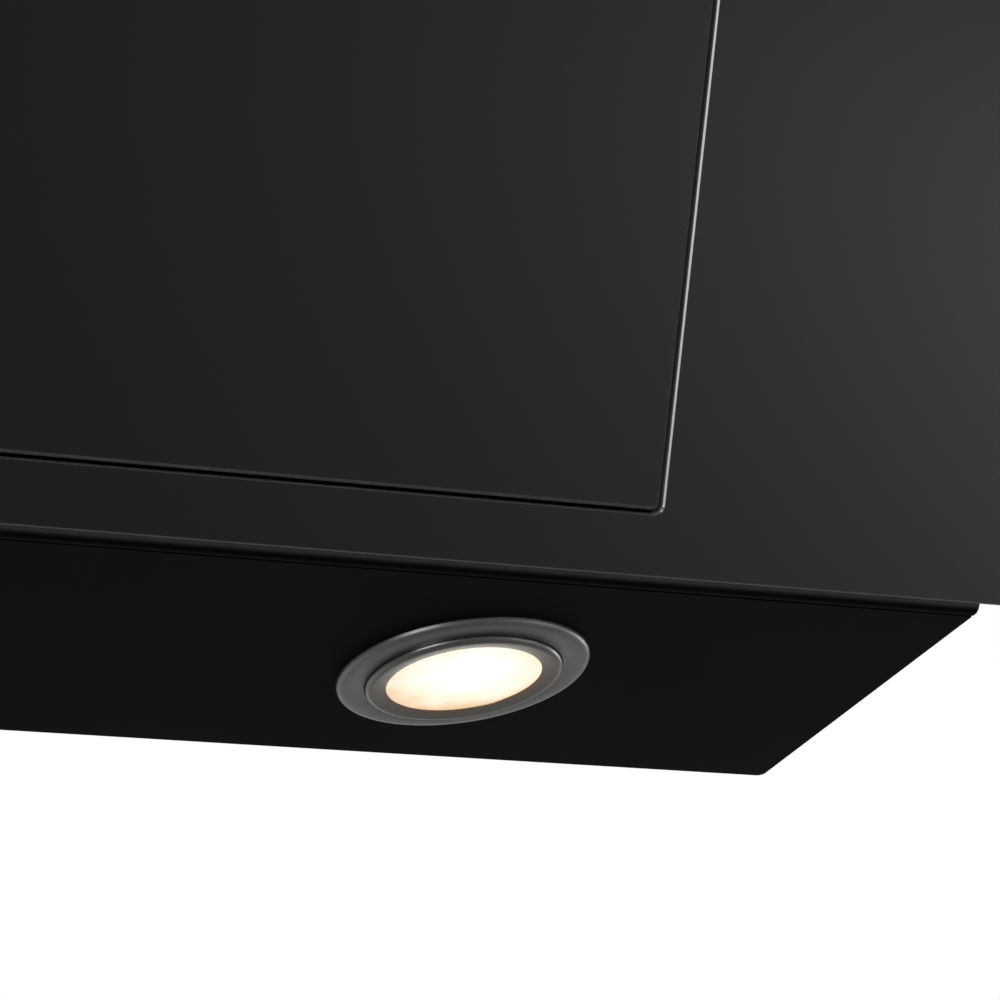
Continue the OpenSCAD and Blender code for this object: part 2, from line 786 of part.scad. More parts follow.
module collar_screws() {
    color(bright_metal) translate([0, duct_y, 0])
        for (i = [0 : 3]) rotate(45 + i * 90) translate([screw_ring, 0, 0]) {
            translate([0, 0, sheet_t]) cylinder(h = 1.6, r = 3.2, $fn = 32);
            cylinder(h = sheet_t, r = collar_screw_r, $fn = 24);
        }
}

module damper_axle() {
    color(bright_metal) translate([0, duct_y, axle_z]) along_x(-collar_r + seat_gap)
        cylinder(h = 2 * collar_r - 2 * seat_gap, r = axle_r, $fn = 32);
}

module damper(side) {
    first = side > 0 ? -2 * knuckle_l - 1.5 * knuckle_gap : -knuckle_l - knuckle_gap / 2;
    inner = knuckle_r + move_gap;
    color(plastic) translate([0, duct_y, axle_z]) difference() {
        union() {
            translate([0, 0, -damper_t / 2]) intersection() {
                cylinder(h = damper_t, r = damper_r);
                block([-collar_r, side > 0 ? inner : -collar_r, 0],
                      [collar_r, side > 0 ? collar_r : -inner, damper_t]);
            }
            for (i = [0, 1]) translate([first + i * 2 * (knuckle_l + knuckle_gap), 0, 0]) {
                along_x() cylinder(h = knuckle_l, r = knuckle_r, $fn = 32);
                block([0, side > 0 ? 0 : -inner - 0.5, -damper_t / 2],
                      [knuckle_l, side > 0 ? inner + 0.5 : 0, damper_t / 2]);
            }
        }
        along_x(-collar_r) cylinder(h = 2 * collar_r, r = axle_r + run_fit, $fn = 32);
    }
}

// ---------------------------------------------------------------- electrics

module at_gland() {
    translate([box_x, box_y1 - box_d / 2, 0]) children();
}

module electrics_box() {
    color(zinc) difference() {
        block([box_x - box_w / 2, box_y0, box_z1 - box_h], [box_x + box_w / 2, box_y1, box_z1]);
        block([box_x - box_w / 2 + sheet_t, box_y0 - cut, box_z1 - box_h + sheet_t],
              [box_x + box_w / 2 - sheet_t, box_y1 - sheet_t, box_z1 - sheet_t]);
        at_gland() translate([0, 0, box_z1 - sheet_t - cut]) cylinder(h = sheet_t + 2 * cut, r = gland_r);
    }
}

module electrics_cover() {
    color(zinc)
        block([box_x - box_w / 2, box_y0 - sheet_t, box_z1 - box_h], [box_x + box_w / 2, box_y0, box_z1]);
}

module control_board() {
    w = box_w / 2 - 12;
    y1 = box_y1 - sheet_t - 6;
    z0 = box_z1 - box_h * 0.56;
    relay_w = 14;
    color([0.10, 0.30, 0.16]) {
        block([box_x - w, y1 - board_t, z0], [box_x + w, y1, box_z1 - 8]);
        for (x = [-w + 6, w - 6], z = [z0 + 6, box_z1 - 14])
            translate([box_x + x, box_y1 - sheet_t, z]) rotate([90, 0, 0]) cylinder(h = 6, r = 2.5, $fn = 24);
        for (i = [0 : 3]) translate([box_x - w + relay_w + i * 18, y1 - board_t - 12, z0 + 4])
            cube([relay_w, 12, 16]);
    }
}

module capacitor() {
    r = box_h * 0.16;
    color([0.80, 0.80, 0.78]) translate([box_x - box_w / 4, box_y1 - sheet_t - r, box_z1 - box_h + sheet_t + r])
        along_x() cylinder(h = box_w / 2, r = r, $fn = 48);
}

module cable_gland() {
    nut_h = 5;
    color(plastic) at_gland() difference() {
        union() {
            translate([0, 0, -gland_neck]) cylinder(h = gland_neck, r = gland_r);
            cylinder(h = gland_head, r = gland_r + 3.5);
            translate([0, 0, -sheet_t - nut_h]) cylinder(h = nut_h, r = gland_r + 5, $fn = 6);
        }
        translate([0, 0, -gland_neck - cut]) cylinder(h = gland_neck + gland_head + 2 * cut, r = cable_r);
    }
}

// Supply of the lamps, screwed to the wall panel by an ear at each end
module lamp_transformer() {
    z1 = box_z1 - 4;
    ear_h = supply_h * 0.4;
    color(plastic) translate([-box_x, box_y1, z1 - supply_h / 2]) {
        block([-supply_w / 2, -supply_d, -supply_h / 2], [supply_w / 2, 0, supply_h / 2]);
        block([-supply_w / 2 - supply_ear, -3, -ear_h / 2], [supply_w / 2 + supply_ear, 0, ear_h / 2]);
    }
}

// ---------------------------------------------------------------- lamps

module lamp_bezel(side) {
    edge = lamp_proud / 2;
    color(satin_metal) at_lamp(side) rotate_extrude() {
        translate([bezel_in, -lamp_proud]) square([lamp_r - edge - bezel_in, lamp_proud]);
        translate([lamp_r - edge, -edge]) circle(edge, $fn = 32);
        translate([tube_out - 1.4, -edge]) square([1.4, tube_h + edge]);
    }
}

module lamp_ring(side) {
    shoulder = 1.2;
    edge_r = ring_r - shoulder;
    edge_z = shoulder - ring_proud;
    color(satin_metal) at_lamp(side) rotate_extrude() {
        // face with a bevel towards the lens and a round outer shoulder
        polygon([[lens_r, lens_z], [lens_r + lens_set, -ring_proud], [edge_r, -ring_proud], [edge_r, lens_z]]);
        translate([edge_r, edge_z]) circle(shoulder, $fn = 32);
        translate([can_r + 0.2, edge_z]) square([ring_r - can_r - 0.2, tube_h - edge_z]);
    }
}

module lamp_lens(side) {
    bulge = 0.6;
    cap = lens_r - 0.4;
    curve = (cap * cap + bulge * bulge) / (2 * bulge);
    color(warm_lens) at_lamp(side) rotate_extrude() {
        translate([0, lens_z]) square([lens_out, lens_t]);
        intersection() {
            translate([0, lens_z - bulge]) square([cap, bulge + cut]);
            translate([0, lens_z - bulge + curve]) circle(curve, $fn = 360);
        }
    }
}

module lamp_can(side) {
    color(zinc) at_lamp(side) translate([0, 0, can_z]) rotate_extrude() {
        translate([lens_r + 0.6, 0]) square([can_r - lens_r - 0.6, can_wall]);
        translate([can_r - can_wall, 0]) square([can_wall, can_h]);
        translate([4, can_h - can_wall]) square([can_r - 4, can_wall]);
    }
}

module lamp_reflector(side) {
    depth = can_h * 0.55;
    wall = 0.8;
    mouth = lens_r - 0.5;
    rim = can_r - can_wall - 0.2;
    neck = 8;
    inner = [for (i = [0 : 8]) let (t = i / 8) [mouth - (mouth - neck) * t * t, can_wall + t * depth]];
    outer = [for (i = [8 : -1 : 1]) [inner[i][0] + wall, inner[i][1]]];
    color([0.85, 0.85, 0.83]) at_lamp(side) translate([0, 0, can_z]) rotate_extrude()
        polygon(concat(inner, outer,
            [[mouth + wall, can_wall + wall], [rim, can_wall + wall], [rim, can_wall]]));
}

module lamp_holder(side) {
    z0 = can_h * 0.55 + can_wall;
    color([0.85, 0.84, 0.80]) at_lamp(side) translate([0, 0, can_z + z0])
        cylinder(h = can_h - can_wall - z0, r = 10.5, $fn = 48);
}

module lamp_bulb(side) {
    r = 4.6;
    z1 = can_h * 0.55 + can_wall;
    z0 = 9 + r;
    color([1, 0.97, 0.88]) at_lamp(side) translate([0, 0, can_z]) rotate_extrude() {
        translate([0, z0]) square([r, z1 - z0]);
        intersection() {
            translate([0, z0]) circle(r, $fn = 48);
            translate([0, z0 - r]) square([r, r + 0.1]);
        }
    }
}

module lamp_clips(side) {
    w = 10;
    color(bright_metal) at_lamp(side) for (turn = [0, 180]) rotate(turn)
        translate([0, w / 2, 0]) rotate([90, 0, 0]) linear_extrude(w)
            polygon([
                [tube_out, tube_h - 1],
                [tube_out, tube_h - 5],
                [tube_out + 8, sheet_t],
                [tube_out + 13, sheet_t],
                [tube_out + 9, sheet_t + 1],
            ]);
}

back_panel();
side_panel(-1);  // side_panel_left
side_panel(1);  // side_panel_right
bottom_panel();
top_panel();
front_frame();
glass_front();
touch_module();
intake_frame();
grease_tray();
grease_filter(-1);  // filter_left
grease_filter(1);  // filter_right
filter_latch(-1);  // latch_left
filter_latch(1);  // latch_right
flap_glass();
flap_carrier();
flap_shaft();
flap_pin();
flap_bumpers();
hinge_bracket(-1);  // hinge_bracket_left
hinge_bracket(1);  // hinge_bracket_right
flap_gearmotor();
scroll_wrap();
scroll_side(-1);  // scroll_side_left
scroll_side(1);  // scroll_side_right
impeller();
motor_shaft();
motor();
motor_bracket();
blower_nuts();
duct_collar();
collar_flange();
collar_screws();
damper_axle();
damper(-1);  // damper_front
damper(1);  // damper_rear
electrics_box();
electrics_cover();
control_board();
capacitor();
cable_gland();
lamp_transformer();
lamp_bezel(-1);  // lamp_bezel_left
lamp_bezel(1);  // lamp_bezel_right
lamp_ring(-1);  // lamp_ring_left
lamp_ring(1);  // lamp_ring_right
lamp_lens(-1);  // lamp_lens_left
lamp_lens(1);  // lamp_lens_right
lamp_can(-1);  // lamp_can_left
lamp_can(1);  // lamp_can_right
lamp_reflector(-1);  // lamp_reflector_left
lamp_reflector(1);  // lamp_reflector_right
lamp_holder(-1);  // lamp_holder_left
lamp_holder(1);  // lamp_holder_right
lamp_bulb(-1);  // lamp_bulb_left
lamp_bulb(1);  // lamp_bulb_right
lamp_clips(-1);  // lamp_clips_left
lamp_clips(1);  // lamp_clips_right
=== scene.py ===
import json
import math

import bmesh
import bpy
from mathutils import Matrix, Vector


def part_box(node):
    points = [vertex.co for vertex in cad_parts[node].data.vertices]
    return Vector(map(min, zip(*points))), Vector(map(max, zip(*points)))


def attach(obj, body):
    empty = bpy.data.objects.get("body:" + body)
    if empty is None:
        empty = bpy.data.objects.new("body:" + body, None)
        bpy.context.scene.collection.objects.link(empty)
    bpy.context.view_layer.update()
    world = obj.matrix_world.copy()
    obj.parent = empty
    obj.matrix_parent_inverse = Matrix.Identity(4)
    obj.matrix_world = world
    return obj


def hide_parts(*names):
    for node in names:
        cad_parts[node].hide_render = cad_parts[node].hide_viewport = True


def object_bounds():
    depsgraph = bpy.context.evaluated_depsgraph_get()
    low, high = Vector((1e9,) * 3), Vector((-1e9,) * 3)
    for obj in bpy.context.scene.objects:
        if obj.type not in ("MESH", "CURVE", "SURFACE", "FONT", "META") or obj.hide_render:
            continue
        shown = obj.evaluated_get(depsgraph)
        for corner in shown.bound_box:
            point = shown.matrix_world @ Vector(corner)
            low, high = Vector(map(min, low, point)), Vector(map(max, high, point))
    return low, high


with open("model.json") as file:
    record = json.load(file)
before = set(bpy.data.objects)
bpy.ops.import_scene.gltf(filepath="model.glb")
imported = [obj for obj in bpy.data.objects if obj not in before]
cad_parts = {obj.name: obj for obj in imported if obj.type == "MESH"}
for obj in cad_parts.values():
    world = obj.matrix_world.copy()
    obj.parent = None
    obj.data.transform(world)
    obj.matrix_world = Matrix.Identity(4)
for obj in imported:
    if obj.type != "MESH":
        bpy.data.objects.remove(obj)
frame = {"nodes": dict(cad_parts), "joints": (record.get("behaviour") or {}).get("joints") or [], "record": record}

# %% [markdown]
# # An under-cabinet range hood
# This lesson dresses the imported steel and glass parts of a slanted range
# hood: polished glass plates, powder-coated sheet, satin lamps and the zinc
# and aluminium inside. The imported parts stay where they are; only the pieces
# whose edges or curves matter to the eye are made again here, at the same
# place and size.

MM = 0.001
start_lo, start_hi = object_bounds()
print("parts:", len(frame["nodes"]))
print("size:", [round(x, 4) for x in start_hi - start_lo])

# %% [markdown]
# ## The slope of the front
# Everything on the front lies on one leaning plane. The filter latches slide
# straight down that plane, so the direction of their joint gives the slope
# without measuring a mesh. From it come two unit vectors: one that runs up the
# glass, and one that stands out of it, forwards and down.

# %% Directions on the front
slide = next(j for j in frame["joints"] if j["name"] == "latch_left_slide")
UP_GLASS = -Vector(slide["axis"]).normalized()
OUT_OF_GLASS = Vector((0, -UP_GLASS.z, UP_GLASS.y))
GLASS_T = 4 * MM
glass_lo, glass_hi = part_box("glass_front")
GLASS_FOOT = Vector((0, glass_hi.y + GLASS_T * OUT_OF_GLASS.y, glass_lo.z))
GLASS_LEN = (glass_hi.z - glass_lo.z + GLASS_T * OUT_OF_GLASS.z) / UP_GLASS.z
TO_SLOPE = Matrix((
    (1, 0, 0, 0),
    (0, UP_GLASS.y, OUT_OF_GLASS.y, GLASS_FOOT.y),
    (0, UP_GLASS.z, OUT_OF_GLASS.z, GLASS_FOOT.z),
    (0, 0, 0, 1),
))
print("glass length mm:", round(GLASS_LEN / MM, 2), "foot:", GLASS_FOOT)

# %% [markdown]
# ## Camera
# The hood is seen from a cook's height: below it, to the left of the right
# lamp, looking up. A long lens keeps the edges nearly parallel. The turn is
# built from three plain angles, so that each can be tuned by itself.

# %% Camera
SENSOR = 36
FOCAL_PER_WIDTH = 5242.4 / 1000
YAW, PITCH, ROLL = math.radians(32.14), math.radians(23.95), math.radians(-9.28)
FROM_LAMP = Vector((-657.9, -1078.6, -515.1)) * MM


def aim(yaw, pitch, roll):
    """Camera axes for a view turned right by yaw, up by pitch, then rolled."""
    look = Vector((
        math.sin(yaw) * math.cos(pitch),
        math.cos(yaw) * math.cos(pitch),
        math.sin(pitch),
    ))
    side = Vector((math.cos(yaw), -math.sin(yaw), 0))
    top = side.cross(look)
    right = math.cos(roll) * side + math.sin(roll) * top
    up = -math.sin(roll) * side + math.cos(roll) * top
    return Matrix((right, up, -look)).transposed()


lamp_lo, lamp_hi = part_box("lamp_bezel_right")
lamp_mid = (lamp_lo + lamp_hi) / 2
panel_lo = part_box("bottom_panel")[0]
LAMP_AT = Vector((lamp_mid.x, lamp_mid.y, panel_lo.z))
cam_data = bpy.data.cameras.new("camera")
cam_data.sensor_width = SENSOR
cam_data.lens = FOCAL_PER_WIDTH * SENSOR
camera = bpy.data.objects.new("camera", cam_data)
bpy.context.scene.collection.objects.link(camera)
turn = aim(YAW, PITCH, ROLL)
camera.matrix_world = Matrix.Translation(LAMP_AT + FROM_LAMP) @ turn.to_4x4()
bpy.context.scene.camera = camera
print("camera at", [round(x, 3) for x in camera.location])

# %% [markdown]
# ## Studio
# A real hood hangs about 650 mm over the hob, so the pale floor lies that far
# below it. Seen from underneath the floor lets the view through, because the
# underside of a hood is what a cook sees, and far out it fades into the white
# surroundings, as a rolled paper background does. White all round comes from the
# world's colour for camera, mirror and glass rays, while the light that falls
# on the hood stays soft and plain.

# %% World and floor
WORLD_FILL = 0.33
WHITE = (1, 1, 1, 1)
world = bpy.data.worlds.new("studio")
bpy.context.scene.world = world
world.use_nodes = True
tree = world.node_tree
tree.nodes.clear()
w_out = tree.nodes.new("ShaderNodeOutputWorld")
w_mix = tree.nodes.new("ShaderNodeMixShader")
w_path = tree.nodes.new("ShaderNodeLightPath")
w_fill = tree.nodes.new("ShaderNodeBackground")
w_white = tree.nodes.new("ShaderNodeBackground")
w_fill.inputs["Color"].default_value = WHITE
w_fill.inputs["Strength"].default_value = WORLD_FILL
w_white.inputs["Color"].default_value = WHITE
w_white.inputs["Strength"].default_value = 1.0
w_any = tree.nodes.new("ShaderNodeMath")
w_any.operation = "MAXIMUM"
w_all = tree.nodes.new("ShaderNodeMath")
w_all.operation = "MAXIMUM"
tree.links.new(w_path.outputs["Is Camera Ray"], w_any.inputs[0])
tree.links.new(w_path.outputs["Is Glossy Ray"], w_any.inputs[1])
tree.links.new(w_any.outputs[0], w_all.inputs[0])
tree.links.new(w_path.outputs["Is Transmission Ray"], w_all.inputs[1])
tree.links.new(w_all.outputs[0], w_mix.inputs[0])
tree.links.new(w_fill.outputs[0], w_mix.inputs[1])
tree.links.new(w_white.outputs[0], w_mix.inputs[2])
tree.links.new(w_mix.outputs[0], w_out.inputs["Surface"])

HOOD_OVER_FLOOR = 0.65
FLOOR_Z = panel_lo.z - HOOD_OVER_FLOOR
FLOOR_HALF = 20
FADE_START, FADE_END = 2.3, 4.6
bm = bmesh.new()
bmesh.ops.create_grid(bm, x_segments=1, y_segments=1, size=FLOOR_HALF)
bmesh.ops.translate(bm, vec=(0, 0, FLOOR_Z), verts=bm.verts)
floor_mesh = bpy.data.meshes.new("floor")
bm.to_mesh(floor_mesh)
bm.free()
floor = bpy.data.objects.new("floor", floor_mesh)
bpy.context.scene.collection.objects.link(floor)

floor_mat = bpy.data.materials.new("pale_floor")
floor_mat.use_nodes = True
tree = floor_mat.node_tree
f_shader = tree.nodes["Principled BSDF"]
f_shader.inputs["Base Color"].default_value = (0.62, 0.62, 0.61, 1)
f_shader.inputs["Roughness"].default_value = 0.9
f_shader.inputs["Specular IOR Level"].default_value = 0.2
f_clear = tree.nodes.new("ShaderNodeBsdfTransparent")
f_place = tree.nodes.new("ShaderNodeTexCoord")
f_far = tree.nodes.new("ShaderNodeVectorMath")
f_far.operation = "LENGTH"
tree.links.new(f_place.outputs["Object"], f_far.inputs[0])
f_fade = tree.nodes.new("ShaderNodeMapRange")
f_fade.interpolation_type = "SMOOTHSTEP"
f_fade.inputs["From Min"].default_value = FADE_START
f_fade.inputs["From Max"].default_value = FADE_END
tree.links.new(f_far.outputs["Value"], f_fade.inputs["Value"])
f_geo = tree.nodes.new("ShaderNodeNewGeometry")
f_gone = tree.nodes.new("ShaderNodeMath")
f_gone.operation = "MAXIMUM"
tree.links.new(f_geo.outputs["Backfacing"], f_gone.inputs[0])
tree.links.new(f_fade.outputs["Result"], f_gone.inputs[1])
f_mix = tree.nodes.new("ShaderNodeMixShader")
tree.links.new(f_gone.outputs[0], f_mix.inputs[0])
tree.links.new(f_shader.outputs[0], f_mix.inputs[1])
tree.links.new(f_clear.outputs[0], f_mix.inputs[2])
tree.links.new(f_mix.outputs[0], tree.nodes["Material Output"].inputs["Surface"])
floor_mesh.materials.append(floor_mat)
print("floor at", round(FLOOR_Z, 3))

# %% [markdown]
# ## Lamps of the studio
# Soft boxes are area lights. A high one in front and one overhead light the
# hood plainly. Black glass shows only what it mirrors, so a low box over the
# floor on the right gives it the slow change from black to grey, and one
# behind does the same, weaker, for the underside. Two more at the sides catch
# the cut edges of the glass and the rings of the lamp.

# %% Soft boxes
def soft_box(name, at, target, size, watts):
    """An area light that faces the target."""
    data = bpy.data.lights.new(name, "AREA")
    data.shape = "RECTANGLE"
    data.size, data.size_y = size
    data.energy = watts
    lamp = bpy.data.objects.new(name, data)
    bpy.context.scene.collection.objects.link(lamp)
    lamp.location = at
    lamp.rotation_mode = "QUATERNION"
    way = Vector(target) - Vector(at)
    lamp.rotation_quaternion = way.to_track_quat("-Z", "Y")
    lamp.visible_camera = False


hood_mid = (start_lo + start_hi) / 2
soft_box("key_box", (-1.6, -2.2, 0.9), hood_mid, (1.2, 1.2), 32)
soft_box("top_box", (0.2, 0.2, 2.6), hood_mid, (1.6, 1.6), 38)
soft_box("left_box", (-2.1, -1.1, -0.66), hood_mid, (1.0, 0.7), 29)
soft_box("side_box", (2.5, 0.6, -0.45), hood_mid, (0.8, 0.8), 12)
# these two face straight down, at the parts of the floor that the hood mirrors
soft_box("floor_box", (1.85, -1.15, -0.38), (1.85, -1.15, FLOOR_Z), (0.7, 0.7), 40)
soft_box("rear_box", (-0.4, 1.5, -0.3), (-0.4, 1.5, FLOOR_Z), (0.7, 0.7), 14)

# %% [markdown]
# ## Shared effects
# Several finishes need the same small effects: a fine grain, slow smudges,
# long brush marks, and the frost-like flowers of zinc. Each is a node group
# with named inputs and outputs, built once. A group only puts out values; the
# shader itself stays in each material, where its gloss can be read.

# %% Helper for node groups
def start_group(name, inputs, outputs):
    """A new shader node group with float or vector inputs and outputs."""
    group = bpy.data.node_groups.new(name, "ShaderNodeTree")
    for label, value in inputs:
        kind = "NodeSocketVector" if value is None else "NodeSocketFloat"
        socket = group.interface.new_socket(
            name=label, in_out="INPUT", socket_type=kind)
        if value is not None:
            socket.default_value = value
    for label in outputs:
        group.interface.new_socket(
            name=label, in_out="OUTPUT", socket_type="NodeSocketFloat")
    enter = group.nodes.new("NodeGroupInput")
    leave = group.nodes.new("NodeGroupOutput")
    return group, enter, leave


def noise(group, vector, scale, detail=2.0, rough=0.5):
    """A noise texture inside a group; scale is a socket or a number."""
    node = group.nodes.new("ShaderNodeTexNoise")
    node.inputs["Detail"].default_value = detail
    node.inputs["Roughness"].default_value = rough
    group.links.new(vector, node.inputs["Vector"])
    if isinstance(scale, (int, float)):
        node.inputs["Scale"].default_value = scale
    else:
        group.links.new(scale, node.inputs["Scale"])
    return node


def remap(group, value, low, high, from_low=0.0, from_high=1.0):
    """Map Range whose ends are sockets or numbers."""
    node = group.nodes.new("ShaderNodeMapRange")
    group.links.new(value, node.inputs["Value"])
    ends = {"From Min": from_low, "From Max": from_high, "To Min": low, "To Max": high}
    for label, end in ends.items():
        if isinstance(end, (int, float)):
            node.inputs[label].default_value = end
        else:
            group.links.new(end, node.inputs[label])
    return node.outputs["Result"]


# %% [markdown]
# ### Grain and smudges
# Powder coat and moulded plastic have a skin like very fine orange peel; that
# is a small-scale noise for the Bump node. Handling leaves slow patches that
# are a little duller, which is a large noise mapped between two roughnesses.

# %% Grain and smudge groups
def make_grain():
    group, enter, leave = start_group(
        "Fine grain", [("Vector", None), ("Scale", 900.0)], ["Height"])
    fine = noise(group, enter.outputs["Vector"], enter.outputs["Scale"], 3.0, 0.6)
    group.links.new(fine.outputs["Fac"], leave.inputs["Height"])
    return group


def make_smudge():
    group, enter, leave = start_group(
        "Smudges",
        [("Vector", None), ("Scale", 9.0), ("Dull", 0.5), ("Bright", 0.4)],
        ["Roughness"])
    slow = noise(group, enter.outputs["Vector"], enter.outputs["Scale"], 4.0, 0.62)
    mapped = remap(group, slow.outputs["Fac"],
                   enter.outputs["Bright"], enter.outputs["Dull"], 0.35, 0.7)
    group.links.new(mapped, leave.inputs["Roughness"])
    return group


GRAIN = make_grain()
SMUDGE = make_smudge()
print("groups:", GRAIN.name, SMUDGE.name)

# %% [markdown]
# ### Brush marks and zinc flowers
# Brushed metal is noise stretched along one direction, which a Mapping node
# gives before the group. Hot-dip zinc crystallises in flat angular patches,
# each with its own tone: the cells of a Voronoi texture.

# %% Brush and zinc groups
def make_brush():
    group, enter, leave = start_group(
        "Brush marks", [("Vector", None), ("Scale", 1.0)], ["Tone", "Height"])
    lines = noise(group, enter.outputs["Vector"], enter.outputs["Scale"], 3.0, 0.7)
    tone = remap(group, lines.outputs["Fac"], 0.8, 1.1, 0.3, 0.7)
    group.links.new(tone, leave.inputs["Tone"])
    group.links.new(lines.outputs["Fac"], leave.inputs["Height"])
    return group


def make_zinc_flowers():
    group, enter, leave = start_group(
        "Zinc flowers", [("Vector", None), ("Scale", 110.0)], ["Tone", "Roughness"])
    cells = group.nodes.new("ShaderNodeTexVoronoi")
    group.links.new(enter.outputs["Vector"], cells.inputs["Vector"])
    group.links.new(enter.outputs["Scale"], cells.inputs["Scale"])
    split = group.nodes.new("ShaderNodeSeparateColor")
    group.links.new(cells.outputs["Color"], split.inputs["Color"])
    group.links.new(remap(group, split.outputs["Red"], 0.78, 1.08), leave.inputs["Tone"])
    group.links.new(remap(group, split.outputs["Green"], 0.28, 0.5), leave.inputs["Roughness"])
    return group


BRUSH = make_brush()
ZINC_FLOWERS = make_zinc_flowers()
print("groups:", BRUSH.name, ZINC_FLOWERS.name)

# %% [markdown]
# ## Finishes
# A helper starts each material with its shader and Object coordinates. Plain
# numbers go straight onto the shader's own sockets; only what changes over
# the surface is wired in.

# %% Helpers for materials
# a colour Mix node has its factor, two colours and result at these places
MIX_FACTOR, MIX_A, MIX_B, MIX_OUT = 0, 6, 7, 2


def start_material(name, color, metallic=0.0, roughness=0.5, specular=0.5):
    mat = bpy.data.materials.new(name)
    mat.use_nodes = True
    tree = mat.node_tree
    shader = tree.nodes["Principled BSDF"]
    shader.inputs["Base Color"].default_value = (*color, 1)
    shader.inputs["Metallic"].default_value = metallic
    shader.inputs["Roughness"].default_value = roughness
    shader.inputs["Specular IOR Level"].default_value = specular
    place = tree.nodes.new("ShaderNodeTexCoord").outputs["Object"]
    return mat, tree, shader, place


def use_group(tree, group, vector, **values):
    """Places a group in a material and sets its inputs by name."""
    node = tree.nodes.new("ShaderNodeGroup")
    node.node_tree = group
    tree.links.new(vector, node.inputs["Vector"])
    for label, value in values.items():
        node.inputs[label].default_value = value
    return node


def bump(tree, shader, height, strength, distance):
    """Bump from a height into the shader's normal."""
    node = tree.nodes.new("ShaderNodeBump")
    node.inputs["Strength"].default_value = strength
    node.inputs["Distance"].default_value = distance
    tree.links.new(height, node.inputs["Height"])
    tree.links.new(node.outputs["Normal"], shader.inputs["Normal"])


def stretch(tree, vector, scale):
    """A Mapping node that squeezes the pattern."""
    node = tree.nodes.new("ShaderNodeMapping")
    node.inputs["Scale"].default_value = scale
    tree.links.new(vector, node.inputs["Vector"])
    return node.outputs["Vector"]


def toned(tree, shader, factor, color):
    """Base colour times a changing tone."""
    node = tree.nodes.new("ShaderNodeMix")
    node.data_type = "RGBA"
    node.blend_type = "MULTIPLY"
    node.inputs[MIX_FACTOR].default_value = 1.0
    if isinstance(color, tuple):
        node.inputs[MIX_A].default_value = (*color, 1)
    else:
        tree.links.new(color, node.inputs[MIX_A])
    tree.links.new(factor, node.inputs[MIX_B])
    tree.links.new(node.outputs[MIX_OUT], shader.inputs["Base Color"])


# %% [markdown]
# ### Painted steel and black glass
# The body is satin black powder coat. The glass is printed black behind, so
# it shows only its polished front: nearly no colour of its own and a weak,
# clean mirror. Along the bend below the glass a colour ramp by the height
# above its lip paints a grey sheen, and black painted shade at the lip.

# %% Black paint and glass
BLACK = (0.006, 0.006, 0.0058)
# tones of the front plate's bend by height above its lip: the black at the lip is painted shade, the grey band a
# painted sheen
LIP_PAINTED_SHADE = 0.0008
BEND_HEIGHT = 3 * MM
BEND_PAINTED_SHEEN = ((0.16, 0.0024), (0.3, 0.017), (0.42, 0.038), (0.6, 0.046))


def make_paint(name, color, dull, bright, specular):
    mat, tree, shader, place = start_material(name, color, 0, dull, specular)
    smudge = use_group(tree, SMUDGE, place, Scale=11.0, Dull=dull, Bright=bright)
    tree.links.new(smudge.outputs["Roughness"], shader.inputs["Roughness"])
    grain = use_group(tree, GRAIN, place, Scale=1100.0)
    bump(tree, shader, grain.outputs["Height"], 0.12, 0.0002)
    return mat


def make_bend_sheen_shade_paint():
    """The front plate: a painted grey sheen along the bend, and painted shade, black, at the lip."""
    mat, tree, shader, place = start_material("bend_painted_sheen_and_shade", BLACK, 0, 0.5, 0.01)
    lip_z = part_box("front_frame")[0].z
    parts = tree.nodes.new("ShaderNodeSeparateXYZ")
    tree.links.new(place, parts.inputs[0])
    rise = remap(tree, parts.outputs["Z"], 0.0, 1.0, lip_z, lip_z + BEND_HEIGHT)
    # this ramp by height paints the sheen and the shade of the bend
    ramp = tree.nodes.new("ShaderNodeValToRGB")
    tree.links.new(rise, ramp.inputs["Fac"])
    stops = ramp.color_ramp.elements
    stops[0].position, stops[0].color = 0.06, (LIP_PAINTED_SHADE, LIP_PAINTED_SHADE, LIP_PAINTED_SHADE, 1)
    stops[1].position, stops[1].color = 0.8, (*BLACK, 1)
    for at, tone in BEND_PAINTED_SHEEN:
        stops.new(at).color = (tone, tone, tone * 0.98, 1)
    bend_streaks = use_group(tree, BRUSH, stretch(tree, place, (12, 260, 260)), Scale=1.0)
    toned(tree, shader, bend_streaks.outputs["Tone"], ramp.outputs["Color"])
    grain = use_group(tree, GRAIN, place, Scale=1100.0)
    bump(tree, shader, grain.outputs["Height"], 0.1, 0.0001)
    return mat


def make_glass():
    mat, tree, shader, place = start_material(
        "black_printed_glass", (0.001, 0.001, 0.001), 0, 0.1, 0.18)
    smudge = use_group(tree, SMUDGE, place, Scale=5.0, Dull=0.12, Bright=0.06)
    tree.links.new(smudge.outputs["Roughness"], shader.inputs["Roughness"])
    return mat


def make_cut_edge(name, color, roughness):
    mat, tree, shader, place = start_material(name, color, 0, roughness, 0.5)
    grain = use_group(tree, BRUSH, stretch(tree, place, (300, 300, 300)), Scale=1.0)
    toned(tree, shader, grain.outputs["Tone"], color)
    return mat


PAINT = make_paint("black_powder_coat", BLACK, 0.42, 0.34, 0.4)
